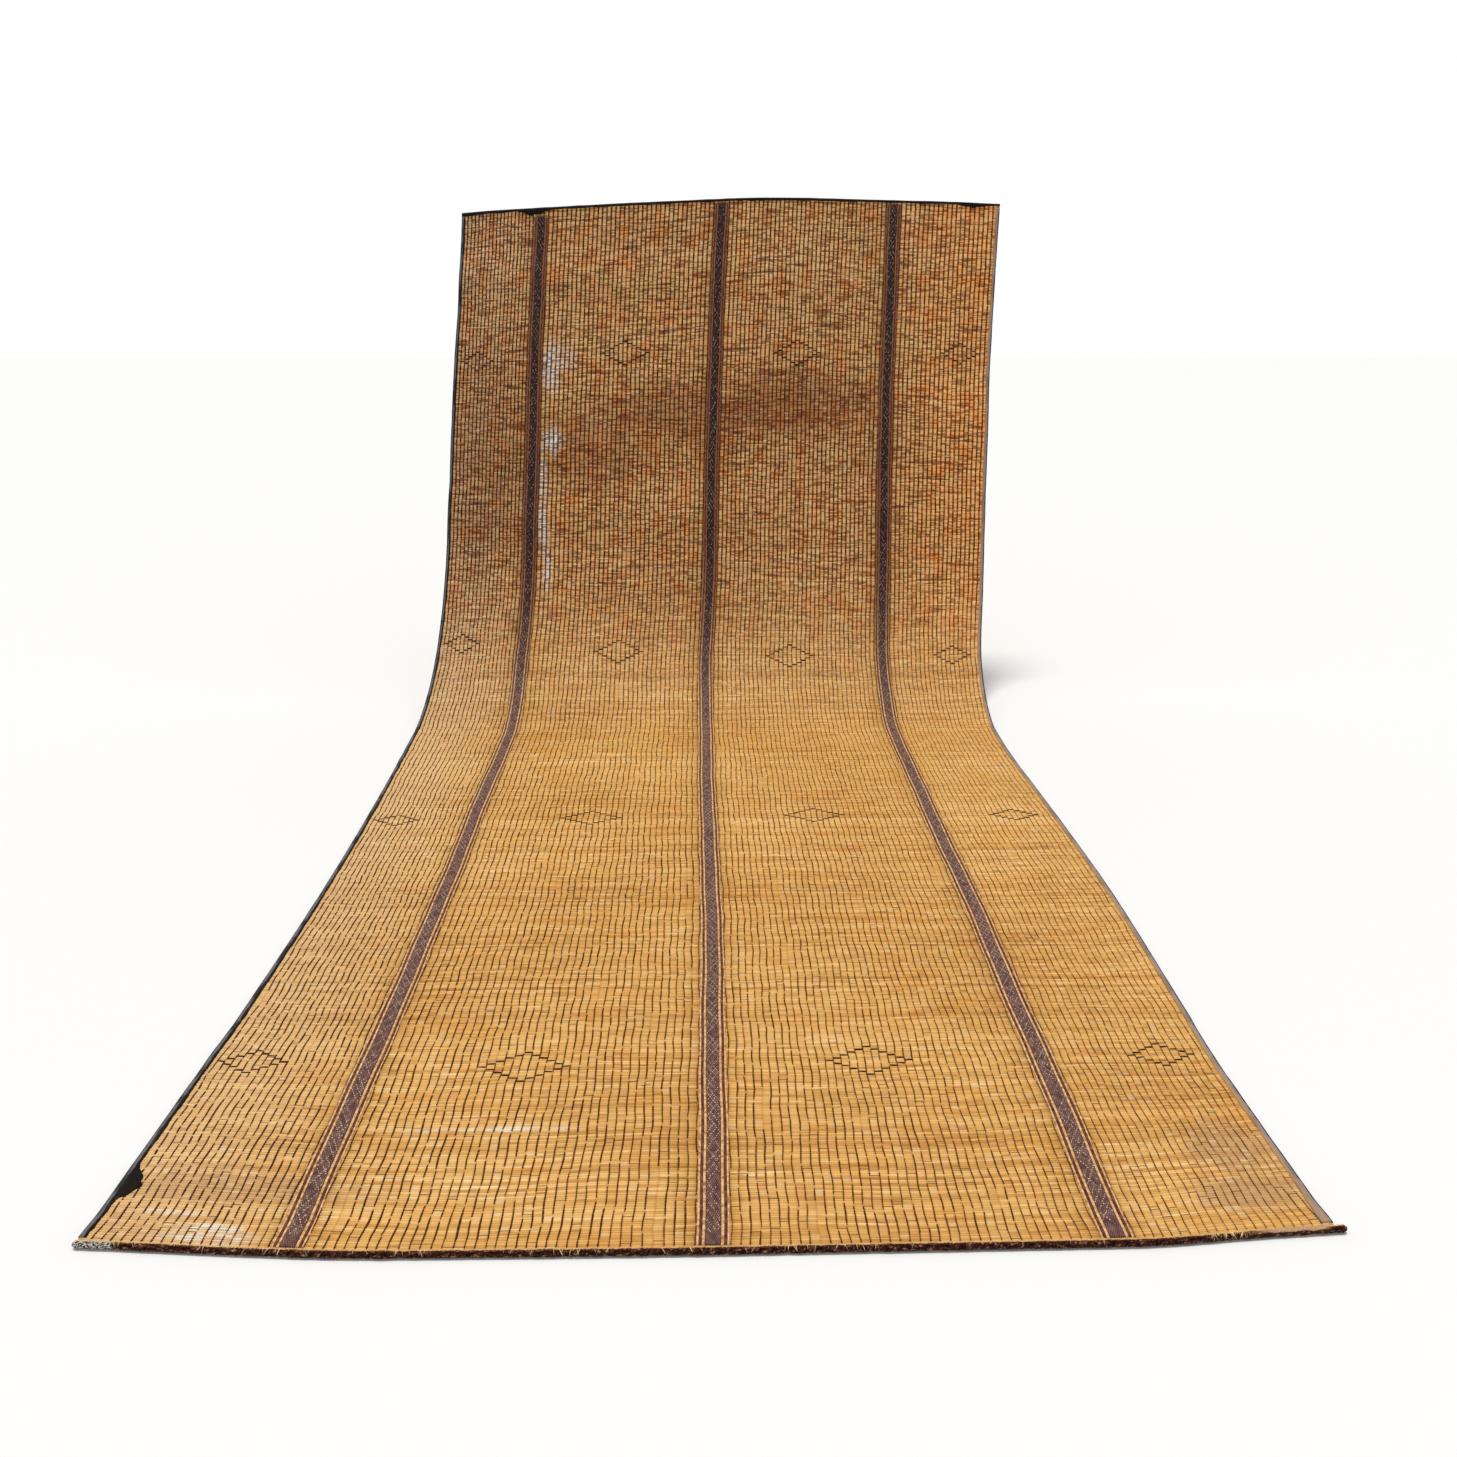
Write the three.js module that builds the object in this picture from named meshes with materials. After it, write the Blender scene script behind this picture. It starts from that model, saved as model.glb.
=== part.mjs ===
// Woven reed floor mat with leather bands and bindings, its near half on the floor and its far half held up.
// Millimetres, +Z up. Each piece is a flat blank first: "across" is measured over the width from the middle,
// "along" from the near end, and "lift" off the underside. drape() then lays and hangs the blank.
import * as THREE from "three";
import { mergeVertices } from "three/addons/utils/BufferGeometryUtils.js";

const MAT_LENGTH = 5090;
const REED_THICKNESS = 4;
const PIECE_GAP = 0.35;
const END_GAP = 1.2;

// The mat lies flat up to the bend, then sweeps up to a straight stretch that leans back.
const BEND_START = 2695;
const BEND_LENGTH = 1454;
const BEND_EASE = 2.76;
const LEAN_ANGLE = THREE.MathUtils.degToRad(70.24);

// The sides wander. Sway is the middle line's sideways drift, left and right are the half widths from it.
const OUTLINE = [
  { along: 0, sway: -15, left: 1119, right: 1133 },
  { along: 350, sway: -13, left: 1110, right: 1120 },
  { along: 590, sway: -13, left: 1102, right: 1117 },
  { along: 750, sway: -14, left: 1094, right: 1123 },
  { along: 1350, sway: -17, left: 1087, right: 1138 },
  { along: 1950, sway: -29, left: 1086, right: 1136 },
  { along: 2450, sway: -34, left: 1100, right: 1123 },
  { along: 2800, sway: -38, left: 1109, right: 1130 },
  { along: 3150, sway: -38, left: 1091, right: 1139 },
  { along: 3450, sway: -24, left: 1088, right: 1152 },
  { along: 3900, sway: -12, left: 1083, right: 1162 },
  { along: 4350, sway: 2, left: 1077, right: 1165 },
  { along: 4760, sway: 21, left: 1071, right: 1171 },
  { along: 5090, sway: 38, left: 1072, right: 1177 },
];

// The two ends aren't cut straight: the near corners set back, and the far corners droop, the left one most.
// Each row says how far the end is set back at a place across. The reeds follow it over the reach.
const NEAR_END = [
  { across: -1140, setBack: 24 },
  { across: -1010, setBack: 16 },
  { across: -850, setBack: 4 },
  { across: -690, setBack: -5.5 },
  { across: -590, setBack: -8.5 },
  { across: -450, setBack: -9 },
  { across: -50, setBack: -8 },
  { across: 250, setBack: -4.5 },
  { across: 740, setBack: 1.5 },
  { across: 830, setBack: 5 },
  { across: 990, setBack: 20 },
  { across: 1160, setBack: 32 },
];
const NEAR_REACH = 900;
const FAR_END = [
  { across: -1140, setBack: 63 },
  { across: -935, setBack: 46 },
  { across: -435, setBack: 17 },
  { across: -185, setBack: 5 },
  { across: 65, setBack: -6 },
  { across: 200, setBack: -9 },
  { across: 330, setBack: -8 },
  { across: 700, setBack: 1 },
  { across: 950, setBack: 7 },
  { across: 1180, setBack: 17 },
];
const FAR_REACH = 990;
const RIPPLE_HALF_WIDTH = 1130;

// Soft ripples across the hanging stretch, each strongest at one side.
const RIPPLES = [
  { along: 4760, height: 8, wave: 330, side: -1 },
  { along: 3770, height: 7, wave: 360, side: -1 },
  { along: 4150, height: 5, wave: 460, side: 1 },
];

// Leather bands woven in along the mat: a broad middle ribbon with a narrow line on each side.
// The left one ends short of the far edge, under the patch there.
const BANDS = [
  { name: "band_left", middle: -743, endGap: 36 },
  { name: "band_middle", middle: 10, endGap: 16 },
  { name: "band_right", middle: 734, endGap: 16 },
];
const BAND_PROFILE = [
  { half: 26, height: 0.7 },
  { half: 25.5, height: 1.4 },
  { half: 21, height: 1.4 },
  { half: 20, height: 0.7 },
  { half: 16, height: 0.7 },
  { half: 15, height: 1.7 },
];

// Small stepped diamonds of leather thong, in four uneven rows along the mat: each middle's place across and along.
// The outer two of a row have fewer steps.
const DIAMOND_ROWS = [
  [[-1000, 574], [-398, 555], [346, 567], [999, 572]],
  [[-996, 1889], [-364, 1900], [348, 1913], [1002, 1907]],
  [[-999, 3218], [-353, 3180], [362, 3157], [1024, 3159]],
  [[-981, 4429], [-366, 4455], [356, 4449], [1042, 4450]],
];
const DIAMOND_STEPS = [4, 5, 5, 4];
const STEP_WIDTH = 17;
const STEP_LENGTH = 10.2;
const DIAMOND_STROKE = 0.12;
const DIAMOND_HEIGHT = 1.2;
const DIAMOND_SEGMENTS = 12;

// Bindings are leather folded round the mat's edge. Their lower lip lifts the edge of the reeds a little.
const LEATHER = 1.6;
const LIP_LENGTH = 13;
const FOLD_ROUNDING = 1.4;
const EDGE_LIFT = LEATHER + PIECE_GAP;
const EDGE_RAMP = { from: 14, to: 42 };

// The near end is bound in a thick overcast roll that raises the last reeds to its middle.
const ROLL_HEIGHT = 15;
const ROLL_FRONT = 4;
const ROLL_CHAMFER = 3;
const ROLL_OVERHANG = { left: 6, right: 20 };
const ROLL_LIFT = (ROLL_HEIGHT - REED_THICKNESS) / 2;
const ROLL_RAMP = { from: 16, to: 90 };

// Where the bindings carry a wider patch of leather: place along the edge, reach each way, added width.
const CORNER_PATCH = { at: 177, reach: 75, width: 24 };
const FAR_PATCHES = [
  { at: -775, reach: 80, width: 17 },
  { at: 1062, reach: 85, width: 12 },
];

const ALONG_STATIONS = [
  ...[0, ROLL_RAMP.from, 45, ROLL_RAMP.to, 140, 190, 240, 330],
  ...evenSteps(330, BEND_START, 8).slice(1),
  ...evenSteps(BEND_START, BEND_START + BEND_LENGTH, 22).slice(1),
  ...evenSteps(BEND_START + BEND_LENGTH, MAT_LENGTH - 16, 14).slice(1),
  MAT_LENGTH,
];

function evenSteps(from, to, count) {
  return Array.from({ length: count + 1 }, (_, i) => from + ((to - from) * i) / count);
}

function easeBetween(from, to, value) {
  return THREE.MathUtils.smoothstep(value, from, to);
}

// A smooth hump of height 1 at the middle that has died away at the reach.
function hump(value, middle, reach) {
  const distance = Math.min(Math.abs(value - middle) / reach, 1);
  return 0.5 + 0.5 * Math.cos(Math.PI * distance);
}

// A column of a table at a place, on a smooth curve through its rows. The key names the column of places.
function tableAt(table, key, column, value) {
  const last = table.length - 1;
  const place = THREE.MathUtils.clamp(value, table[0][key], table[last][key]);
  const row = Math.max(1, table.findIndex((entry) => entry[key] >= place));
  const slopeAt = (i) => {
    const before = table[Math.max(i - 1, 0)];
    const after = table[Math.min(i + 1, last)];
    return (after[column] - before[column]) / (after[key] - before[key]);
  };
  const [start, end] = [table[row - 1], table[row]];
  const run = end[key] - start[key];
  const t = (place - start[key]) / run;
  const rise = t * t * (3 - 2 * t);
  return (
    start[column] * (1 - rise) +
    end[column] * rise +
    run * (t * (1 - t) * (1 - t) * slopeAt(row - 1) - t * t * (1 - t) * slopeAt(row))
  );
}

function outlineAt(column, along) {
  return tableAt(OUTLINE, "along", column, along);
}

// The mat's side section: its slope at each place, and the floor distance and height summed from it.
function slopeAngle(along) {
  const share = THREE.MathUtils.clamp((along - BEND_START) / BEND_LENGTH, 0, 1);
  return LEAN_ANGLE * (1 - (1 - share) ** BEND_EASE);
}

const BEND_STEPS = 700;
const bendPoints = [{ y: BEND_START, z: 0 }];
for (let i = 0; i < BEND_STEPS; i += 1) {
  const step = BEND_LENGTH / BEND_STEPS;
  const angle = slopeAngle(BEND_START + (i + 0.5) * step);
  const before = bendPoints[i];
  bendPoints.push({ y: before.y + step * Math.cos(angle), z: before.z + step * Math.sin(angle) });
}

function sectionPoint(along) {
  if (along <= BEND_START) return { y: along, z: 0 };
  const steps = ((along - BEND_START) / BEND_LENGTH) * BEND_STEPS;
  if (steps >= BEND_STEPS) {
    const top = bendPoints[BEND_STEPS];
    const beyond = along - BEND_START - BEND_LENGTH;
    return { y: top.y + beyond * Math.cos(LEAN_ANGLE), z: top.z + beyond * Math.sin(LEAN_ANGLE) };
  }
  const i = Math.floor(steps);
  const [from, to] = [bendPoints[i], bendPoints[i + 1]];
  return { y: from.y + (to.y - from.y) * (steps - i), z: from.z + (to.z - from.z) * (steps - i) };
}

// How far a ripple moves the hanging cloth off its section. It is straight across, because the reeds are.
function rippleHeight(across, along) {
  let height = 0;
  for (const ripple of RIPPLES) {
    const distance = along - ripple.along;
    const fade = Math.exp(-((distance / (0.6 * ripple.wave)) ** 2));
    const weight = 0.5 + (0.5 * ripple.side * across) / RIPPLE_HALF_WIDTH;
    height += ripple.height * Math.cos((2 * Math.PI * distance) / ripple.wave) * fade * weight;
  }
  return height;
}

function hang(across, along, lift) {
  const near = tableAt(NEAR_END, "across", "setBack", across) * (1 - easeBetween(0, NEAR_REACH, along));
  const far = tableAt(FAR_END, "across", "setBack", across) * easeBetween(MAT_LENGTH - FAR_REACH, MAT_LENGTH, along);
  const place = along + near - far;
  const { y, z } = sectionPoint(place);
  const angle = slopeAngle(place);
  const offset = lift + rippleHeight(across, place);
  const x = across + outlineAt("sway", place);
  return new THREE.Vector3(x, y - offset * Math.sin(angle), z + offset * Math.cos(angle));
}

// The draped place of a flat point, straight between stations so that every piece shares the same facets.
function drape(across, along, lift) {
  const next = ALONG_STATIONS.findIndex((station) => station >= along);
  if (next <= 0) return hang(across, along, lift);
  const [from, to] = [ALONG_STATIONS[next - 1], ALONG_STATIONS[next]];
  const start = hang(across, from, lift);
  return start.lerp(hang(across, to, lift), (along - from) / (to - from));
}

function leftEdge(along) {
  return -outlineAt("left", along);
}

function rightEdge(along) {
  return outlineAt("right", along);
}

// The reeds rise towards the near roll, and at each side over the binding's lower lip.
function rollLift(along) {
  return ROLL_LIFT * (1 - easeBetween(ROLL_RAMP.from, ROLL_RAMP.to, along));
}

function edgeLift(across, along) {
  const fromEdge = Math.min(across - leftEdge(along), rightEdge(along) - across);
  const share = THREE.MathUtils.clamp(THREE.MathUtils.inverseLerp(EDGE_RAMP.to, EDGE_RAMP.from, fromEdge), 0, 1);
  return EDGE_LIFT * share;
}

// Turns a blank into a closed draped body: place() gives each vertex's flat across, along and lift.
function drapeBlank(geometry, place) {
  const position = geometry.attributes.position;
  const point = new THREE.Vector3();
  for (let i = 0; i < position.count; i += 1) {
    point.fromBufferAttribute(position, i);
    const flat = place(point);
    const draped = drape(flat.across, flat.along, flat.lift);
    position.setXYZ(i, draped.x, draped.y, draped.z);
  }
  geometry.deleteAttribute("normal");
  geometry.deleteAttribute("uv");
  const body = mergeVertices(geometry, 1e-4);
  faceOutwards(body);
  body.computeVertexNormals();
  return body;
}

// Turns every triangle round if the body's signed volume says that it is inside out.
function faceOutwards(geometry) {
  const { index } = geometry;
  const corner = (i) => new THREE.Vector3().fromBufferAttribute(geometry.attributes.position, index.getX(i));
  let volume = 0;
  for (let i = 0; i < index.count; i += 3) {
    volume += corner(i).dot(corner(i + 1).cross(corner(i + 2)));
  }
  if (volume >= 0) return;
  for (let i = 0; i < index.count; i += 3) {
    const first = index.getX(i);
    index.setX(i, index.getX(i + 1));
    index.setX(i + 1, first);
  }
}

function polygon(points) {
  return new THREE.Shape(points.map(([x, y]) => new THREE.Vector2(x, y)));
}

// A section carried through a list of places, one step from each place to the next.
function sectionRun(section, places, toFlat) {
  const steps = places.length - 1;
  const geometry = new THREE.ExtrudeGeometry(section, { depth: steps, steps, bevelEnabled: false });
  return drapeBlank(geometry, (point) => toFlat(point.x, point.y, places[Math.round(point.z)]));
}

// Places across the field at one station: ramps at the edges, and a narrow cell under each band.
function fieldPlaces(along) {
  const [left, right] = [leftEdge(along), rightEdge(along)];
  const underBand = BAND_PROFILE[0].half + 10;
  const bandSides = BANDS.flatMap(({ middle }) => [middle - underBand, middle + underBand]);
  return [
    left,
    ...evenSteps(left + EDGE_RAMP.from, left + EDGE_RAMP.to, 1),
    ...evenSteps(left + EDGE_RAMP.to, bandSides[0], 4).slice(1),
    ...evenSteps(bandSides[1], bandSides[2], 5),
    ...evenSteps(bandSides[3], bandSides[4], 5),
    ...evenSteps(bandSides[5], right - EDGE_RAMP.to, 4),
    ...evenSteps(right - EDGE_RAMP.from, right, 1),
  ];
}

function reedField() {
  const columns = fieldPlaces(0).length - 1;
  const rows = ALONG_STATIONS.length - 1;
  const blank = new THREE.BoxGeometry(columns, rows, 1, columns, rows, 1);
  return drapeBlank(blank, (point) => {
    const along = ALONG_STATIONS[Math.round(point.y + rows / 2)];
    const across = fieldPlaces(along)[Math.round(point.x + columns / 2)];
    const face = point.z > 0 ? REED_THICKNESS : 0;
    return { across, along, lift: face + rollLift(along) + edgeLift(across, along) };
  });
}

function stationsBetween(from, to) {
  return [from, ...ALONG_STATIONS.filter((station) => station > from && station < to), to];
}

function leatherBand({ middle, endGap }) {
  const rightSide = BAND_PROFILE.map(({ half, height }) => [half, height]);
  const leftSide = [...rightSide].reverse().map(([half, height]) => [-half, height]);
  const foot = BAND_PROFILE[0].half;
  const section = polygon([[-foot, 0], [foot, 0], ...rightSide, ...leftSide]);
  const places = stationsBetween(ROLL_RAMP.from, MAT_LENGTH - endGap);
  return sectionRun(section, places, (x, y, along) => ({
    across: middle + x,
    along,
    lift: REED_THICKNESS + PIECE_GAP + y + rollLift(along),
  }));
}

// A folded strip of leather in section: x runs inwards from the reeds' edge, y up from their underside.
function foldedSection(side, edgeGap) {
  const outside = -edgeGap - LEATHER;
  const bottom = -PIECE_GAP - LEATHER;
  const slotTop = REED_THICKNESS + PIECE_GAP;
  const top = slotTop + LEATHER;
  const outline = [
    [LIP_LENGTH, bottom],
    [LIP_LENGTH, -PIECE_GAP],
    [-edgeGap, -PIECE_GAP],
    [-edgeGap, slotTop],
    [LIP_LENGTH, slotTop],
    [LIP_LENGTH - 1, top],
    [outside + FOLD_ROUNDING, top],
    [outside, top - FOLD_ROUNDING],
    [outside, bottom + FOLD_ROUNDING],
    [outside + FOLD_ROUNDING, bottom],
  ];
  return polygon(outline.map(([x, y]) => [side * x, y]));
}

// True for the free edge of the upper lip, the part that a patch makes wider.
function isUpperLip(inwards, y) {
  return inwards > LIP_LENGTH / 2 && y > REED_THICKNESS;
}

const SIDE_PLACES = stationsBetween(ROLL_RAMP.from + 2, MAT_LENGTH - LIP_LENGTH - 2.5);

function leftBinding() {
  return sectionRun(foldedSection(1, PIECE_GAP), SIDE_PLACES, (x, y, along) => {
    const patch = isUpperLip(x, y) ? CORNER_PATCH.width * hump(along, CORNER_PATCH.at, CORNER_PATCH.reach) : 0;
    return { across: leftEdge(along) + x + patch, along, lift: EDGE_LIFT + y + rollLift(along) };
  });
}

function rightBinding() {
  return sectionRun(foldedSection(-1, PIECE_GAP), SIDE_PLACES, (x, y, along) => ({
    across: rightEdge(along) + x,
    along,
    lift: EDGE_LIFT + y + rollLift(along),
  }));
}

// The roll in section: x runs along the mat, y up from the floor, with a slot for the reeds' ends.
function nearRoll() {
  const back = ROLL_HEIGHT - ROLL_FRONT;
  const slotBottom = ROLL_LIFT - PIECE_GAP;
  const slotTop = ROLL_LIFT + REED_THICKNESS + PIECE_GAP;
  const section = polygon([
    [back - ROLL_CHAMFER, 0],
    [back, ROLL_CHAMFER],
    [back, slotBottom],
    [-END_GAP, slotBottom],
    [-END_GAP, slotTop],
    [back, slotTop],
    [back, ROLL_HEIGHT - ROLL_CHAMFER],
    [back - ROLL_CHAMFER, ROLL_HEIGHT],
    [ROLL_CHAMFER - ROLL_FRONT, ROLL_HEIGHT],
    [-ROLL_FRONT, ROLL_HEIGHT - ROLL_CHAMFER],
    [-ROLL_FRONT, ROLL_CHAMFER],
    [ROLL_CHAMFER - ROLL_FRONT, 0],
  ]);
  const places = [leftEdge(0) - ROLL_OVERHANG.left, ...fieldPlaces(0), rightEdge(0) + ROLL_OVERHANG.right];
  const inSlot = (x, y) => y > slotBottom - 0.1 && y < slotTop + 0.1;
  return sectionRun(section, places, (x, y, across) => ({
    across,
    along: x,
    lift: y + (inSlot(x, y) ? edgeLift(across, 0) : 0),
  }));
}

function farBinding() {
  const overhang = PIECE_GAP + LEATHER;
  const patchPlaces = FAR_PATCHES.flatMap(({ at, reach }) => evenSteps(at - reach, at + reach, 6));
  const places = [
    leftEdge(MAT_LENGTH) - overhang,
    ...fieldPlaces(MAT_LENGTH),
    ...patchPlaces,
    rightEdge(MAT_LENGTH) + overhang,
  ].sort((a, b) => a - b);
  return sectionRun(foldedSection(1, END_GAP), places, (x, y, across) => {
    let patch = 0;
    if (isUpperLip(x, y)) {
      for (const { at, reach, width } of FAR_PATCHES) patch += width * hump(across, at, reach);
    }
    return { across, along: MAT_LENGTH - x - patch, lift: y + edgeLift(across, MAT_LENGTH) };
  });
}

// A diamond outline: a ring of square section, whose round is drawn out to four straight sides.
function diamond(middleAcross, middleAlong, steps) {
  const halfWidth = (steps + 0.5) * STEP_WIDTH;
  const halfHeight = (steps + 0.5) * STEP_LENGTH;
  const inner = 1 - DIAMOND_STROKE;
  const profile = [[inner, 0], [1, 0], [1, 1], [inner, 1], [inner, 0]].map(([x, y]) => new THREE.Vector2(x, y));
  const ring = new THREE.LatheGeometry(profile, DIAMOND_SEGMENTS);
  return drapeBlank(ring, (point) => {
    const squareness = Math.hypot(point.x, point.z) / (Math.abs(point.x) + Math.abs(point.z));
    const across = middleAcross + point.x * squareness * halfWidth;
    const along = middleAlong + point.z * squareness * halfHeight;
    const face = REED_THICKNESS + PIECE_GAP + edgeLift(across, along);
    return { across, along, lift: face + point.y * DIAMOND_HEIGHT };
  });
}

const reedMaterial = new THREE.MeshStandardMaterial({ color: 0xc8994f, roughness: 0.62, metalness: 0 });
const bandMaterial = new THREE.MeshStandardMaterial({ color: 0x4a3035, roughness: 0.6, metalness: 0 });
const thongMaterial = new THREE.MeshStandardMaterial({ color: 0x3a2018, roughness: 0.6, metalness: 0 });
const bindingMaterial = new THREE.MeshStandardMaterial({ color: 0x1d1a1a, roughness: 0.45, metalness: 0 });
const rollMaterial = new THREE.MeshStandardMaterial({ color: 0x3d2622, roughness: 0.55, metalness: 0 });

const mat = new THREE.Group();

function addPiece(name, geometry, material) {
  const piece = new THREE.Mesh(geometry, material);
  piece.name = name;
  mat.add(piece);
}

addPiece("reed_field", reedField(), reedMaterial);
for (const band of BANDS) addPiece(band.name, leatherBand(band), bandMaterial);
addPiece("edge_left", leftBinding(), bindingMaterial);
addPiece("edge_right", rightBinding(), bindingMaterial);
addPiece("end_near_roll", nearRoll(), rollMaterial);
addPiece("end_far_binding", farBinding(), bindingMaterial);
DIAMOND_ROWS.forEach((middles, row) => {
  middles.forEach(([across, along], column) => {
    const name = `diamond_row${row + 1}_col${column + 1}`;
    addPiece(name, diamond(across, along, DIAMOND_STEPS[column]), thongMaterial);
  });
});

// The frame's origin is under the middle of the whole mat, on the floor.
const extent = new THREE.Box3().setFromObject(mat);
const middle = extent.getCenter(new THREE.Vector3());
mat.position.set(-middle.x, -middle.y, 0);

export default mat;
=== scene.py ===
import math

import bpy
import numpy as np
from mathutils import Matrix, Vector


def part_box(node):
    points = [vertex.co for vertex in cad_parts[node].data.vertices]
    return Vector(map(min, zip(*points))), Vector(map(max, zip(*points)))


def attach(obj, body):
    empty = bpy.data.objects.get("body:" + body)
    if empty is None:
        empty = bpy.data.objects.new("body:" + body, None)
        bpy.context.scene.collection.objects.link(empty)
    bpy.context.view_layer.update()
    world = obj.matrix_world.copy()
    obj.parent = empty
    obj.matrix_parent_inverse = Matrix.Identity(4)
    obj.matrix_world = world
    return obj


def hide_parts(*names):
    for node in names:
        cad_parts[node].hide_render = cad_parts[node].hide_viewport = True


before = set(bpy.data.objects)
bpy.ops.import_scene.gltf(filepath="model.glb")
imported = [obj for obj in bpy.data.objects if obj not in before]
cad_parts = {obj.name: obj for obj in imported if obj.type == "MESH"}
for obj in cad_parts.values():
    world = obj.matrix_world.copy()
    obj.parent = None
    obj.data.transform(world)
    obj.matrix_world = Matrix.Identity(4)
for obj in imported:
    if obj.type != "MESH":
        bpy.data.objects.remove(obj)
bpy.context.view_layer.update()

scene = bpy.context.scene

# Room. A plain pale floor and a white surround. One soft light shines from high above and a
# little behind, so the part on the floor is bright, and the raised part, which it grazes, is dimmer.


def new_material(name, specular):
    """An empty material and its main shader."""
    material = bpy.data.materials.new(name)
    material.use_nodes = True
    shader = material.node_tree.nodes["Principled BSDF"]
    shader.inputs["Specular IOR Level"].default_value = specular
    return material, shader


def feed(target, feeds):
    """Gives each named input of a node a link or a plain value."""
    for key, value in feeds.items():
        if isinstance(value, bpy.types.NodeSocket):
            target.id_data.links.new(value, target.inputs[key])
        else:
            target.inputs[key].default_value = value


def node(kind, feeds, tree=None, **settings):
    """Adds a node to a tree, by default that of its first linked input, with its own settings and feeds."""
    links = [value for value in feeds.values() if isinstance(value, bpy.types.NodeSocket)]
    made = (tree or links[0].id_data).nodes.new("ShaderNode" + kind)
    for key, value in settings.items():
        setattr(made, key, value)
    feed(made, feeds)
    return made


floor_drop = 0.0006
floor_reach = 30.0
floor_mesh = bpy.data.meshes.new("room_floor")
floor_corners = [(-1, -1), (1, -1), (1, 1), (-1, 1)]
floor_mesh.from_pydata(
    [(floor_reach * x, floor_reach * y, -floor_drop) for x, y in floor_corners], [], [(0, 1, 2, 3)]
)
room_floor = bpy.data.objects.new("room_floor", floor_mesh)
scene.collection.objects.link(room_floor)
floor_paint, shader = new_material("pale floor", 0.1)
feed(shader, {"Base Color": (0.86, 0.86, 0.86, 1), "Roughness": 0.9})
floor_mesh.materials.append(floor_paint)

room_air = bpy.data.worlds.new("pale surround")
room_air.use_nodes = True
air = room_air.node_tree
glow = air.nodes["Background"]
feed(glow, {"Color": (0.94, 0.97, 1.0, 1), "Strength": 0.5})
backdrop = node("Background", {"Color": (1, 1, 1, 1)}, air).outputs[0]
camera_sees = node("LightPath", {}, air).outputs["Is Camera Ray"]
seen_or_lit = node("MixShader", {0: camera_sees, 1: glow.outputs[0], 2: backdrop})
feed(air.nodes["World Output"], {"Surface": seen_or_lit.outputs[0]})
scene.world = room_air

light = bpy.data.lights.new("overhead light", "SUN")
light.energy = 2.2
light.angle = math.radians(14)
light.color = (1.0, 0.97, 0.92)
light_holder = bpy.data.objects.new("overhead light", light)
light_from = Vector((-0.10, 0.10, 0.96))
light_holder.rotation_euler = (-light_from).to_track_quat("-Z", "Y").to_euler()
scene.collection.objects.link(light_holder)
scene.view_settings.view_transform = "Standard"

# Camera. It stands 1.6 m above the floor, at a person's chest, and looks down on the mat by
# 19.6 degrees and a touch to the right, with the angle of view of a 26 mm lens.
frame_pixels = 1457
focal_pixels = 1226
sensor_width = 36
camera_place = (-0.0337, -3.6554, 1.597)
looks_down = math.radians(19.556)
looks_right = math.radians(0.7706)
camera_data = bpy.data.cameras.new("camera")
camera_data.sensor_width = sensor_width
camera_data.lens = sensor_width * focal_pixels / frame_pixels
camera = bpy.data.objects.new("camera", camera_data)
camera.location = camera_place
camera.rotation_euler = (math.pi / 2 - looks_down, 0, -looks_right)
scene.collection.objects.link(camera)
scene.camera = camera

# Reed field. About 850 dry golden reeds lie side by side across the mat and are woven into one
# stiff cloth. It is built as four lengthwise panels that meet under the leather bands.
mat_length = 5.090
reed_thickness = 0.004
reed_count = 848
reed_relief = 0.0011
reed_shares = np.array([0.0, 0.28, 0.72])
reed_profile = np.array([0.0, 1.0, 1.0])
bend_start = 2.695
bend_length = 1.454
bend_ease = 2.76
lean = math.radians(70.24)
outline = np.array([
    # along, sway, left half width, right half width
    (0.00, -0.015, 1.119, 1.133),
    (0.35, -0.013, 1.110, 1.120),
    (0.59, -0.013, 1.102, 1.117),
    (0.75, -0.014, 1.094, 1.123),
    (1.35, -0.017, 1.087, 1.138),
    (1.95, -0.029, 1.086, 1.136),
    (2.45, -0.034, 1.100, 1.123),
    (2.80, -0.038, 1.109, 1.130),
    (3.15, -0.038, 1.091, 1.139),
    (3.45, -0.024, 1.088, 1.152),
    (3.90, -0.012, 1.083, 1.162),
    (4.35, 0.002, 1.077, 1.165),
    (4.76, 0.021, 1.071, 1.171),
    (5.09, 0.038, 1.072, 1.177),
])
near_end = np.array([
    # across, how far the end is set back
    (-1.140, 0.0240), (-1.010, 0.0160), (-0.850, 0.0040), (-0.690, -0.0055),
    (-0.590, -0.0085), (-0.450, -0.0090), (-0.050, -0.0080), (0.250, -0.0045),
    (0.740, 0.0015), (0.830, 0.0050), (0.990, 0.0200), (1.160, 0.0320),
])
far_end = np.array([
    # across, how far the end is set back
    (-1.140, 0.063), (-0.935, 0.046), (-0.435, 0.017), (-0.185, 0.005), (0.065, -0.006),
    (0.200, -0.009), (0.330, -0.008), (0.700, 0.001), (0.950, 0.007), (1.180, 0.017),
])
near_reach = 0.90
far_reach = 0.99
ripple_half_width = 1.130
ripples = [
    # along, height, wave length, side that it is strongest at
    (4.76, 0.008, 0.330, -1),
    (3.77, 0.007, 0.360, -1),
    (4.15, 0.005, 0.460, 1),
]
roll_rise = 0.0055
roll_run = (0.016, 0.090)
lip_rise = 0.00195
lip_slope = (0.014, 0.042)
band_middles = (-0.743, 0.010, 0.734)


def smooth(low, high, value):
    """The share of the way from low to high, eased: t squared times (3 - 2t), held at 0 and 1 outside."""
    t = np.clip((value - low) / (high - low), 0, 1)
    return t * t * (3 - 2 * t)


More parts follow.
